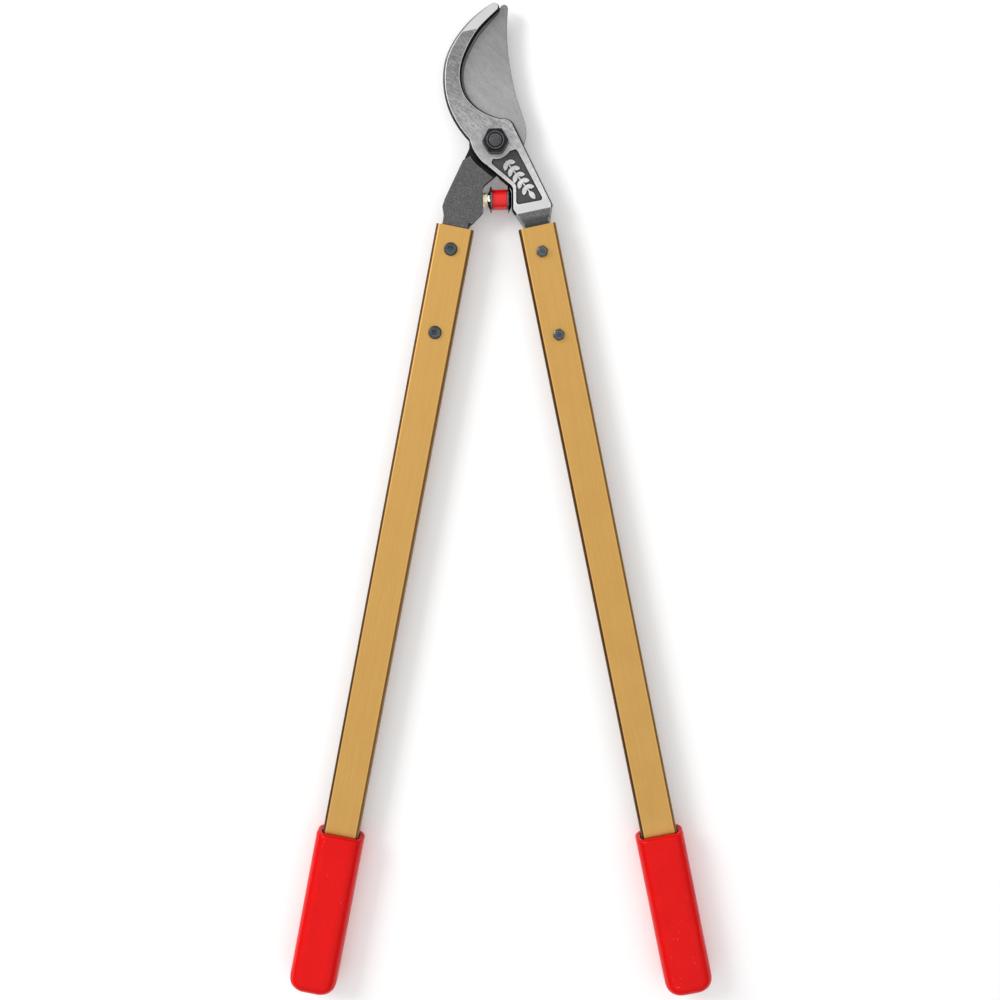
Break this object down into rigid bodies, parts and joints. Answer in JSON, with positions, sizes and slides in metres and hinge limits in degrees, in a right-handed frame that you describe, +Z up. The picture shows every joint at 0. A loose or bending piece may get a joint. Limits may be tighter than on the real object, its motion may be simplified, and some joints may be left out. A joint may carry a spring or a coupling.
{
  "type": "bypass loppers",
  "caption": "Long-handled bypass loppers: a curved blade shears past a hooked counter-blade on a pivot bolt, with gold box-section handles, red dipped grips and a rubber bumper.",
  "frame": {"origin": "middle of the underside of the whole tool, as it lies flat on its back", "axes": "+Y from the grips to the blade tips, +Z up through the tool's thickness, out of the hook's badge face; +X towards the hook's handle"},
  "size_m": [0.3578, 0.8147, 0.035],
  "materials": {
    "hook_steel": "ground forged steel, satin",
    "blade_steel": "ground forged steel, fine diagonal grain",
    "black_hardware": "black oxide, satin",
    "yellow_zinc": "yellow zinc plate",
    "blued_steel": "blue-black plated, glossy",
    "red_rubber": "smooth",
    "gold_tube": "gold anodised, satin",
    "red_vinyl": "dipped vinyl, glossy",
    "screw_steel": "dark zinc plate",
    "nylon": "moulded"
  },
  "bodies": {
    "hook_half": {"hook": "hook_steel", "pivot_bolt": "black_hardware", "pivot_washer": "black_hardware", "pivot_nut": "black_hardware", "pivot_nut_insert": "nylon", "right_handle_tube": "gold_tube", "right_grip": "red_vinyl", "right_upper_screw": "screw_steel", "right_lower_screw": "screw_steel", "right_upper_nut": "screw_steel", "right_lower_nut": "screw_steel", "right_nut_rings": "nylon"},
    "blade_half": {"blade": "blade_steel", "bumper_stud": "black_hardware", "bumper_lock_nut": "yellow_zinc", "bumper_inner_cup": "blued_steel", "bumper_rubber": "red_rubber", "bumper_outer_cup": "blued_steel", "left_handle_tube": "gold_tube", "left_grip": "red_vinyl", "left_upper_screw": "screw_steel", "left_lower_screw": "screw_steel", "left_upper_nut": "screw_steel", "left_lower_nut": "screw_steel", "left_nut_rings": "nylon"}
  },
  "joints": [
    {"name": "jaw_pivot", "type": "hinge", "parent": "hook_half", "child": "blade_half", "pos_m": [0, 0.3, 0.015], "axis": [0, 0, -1], "range_deg": [0, 35]}
  ]
}
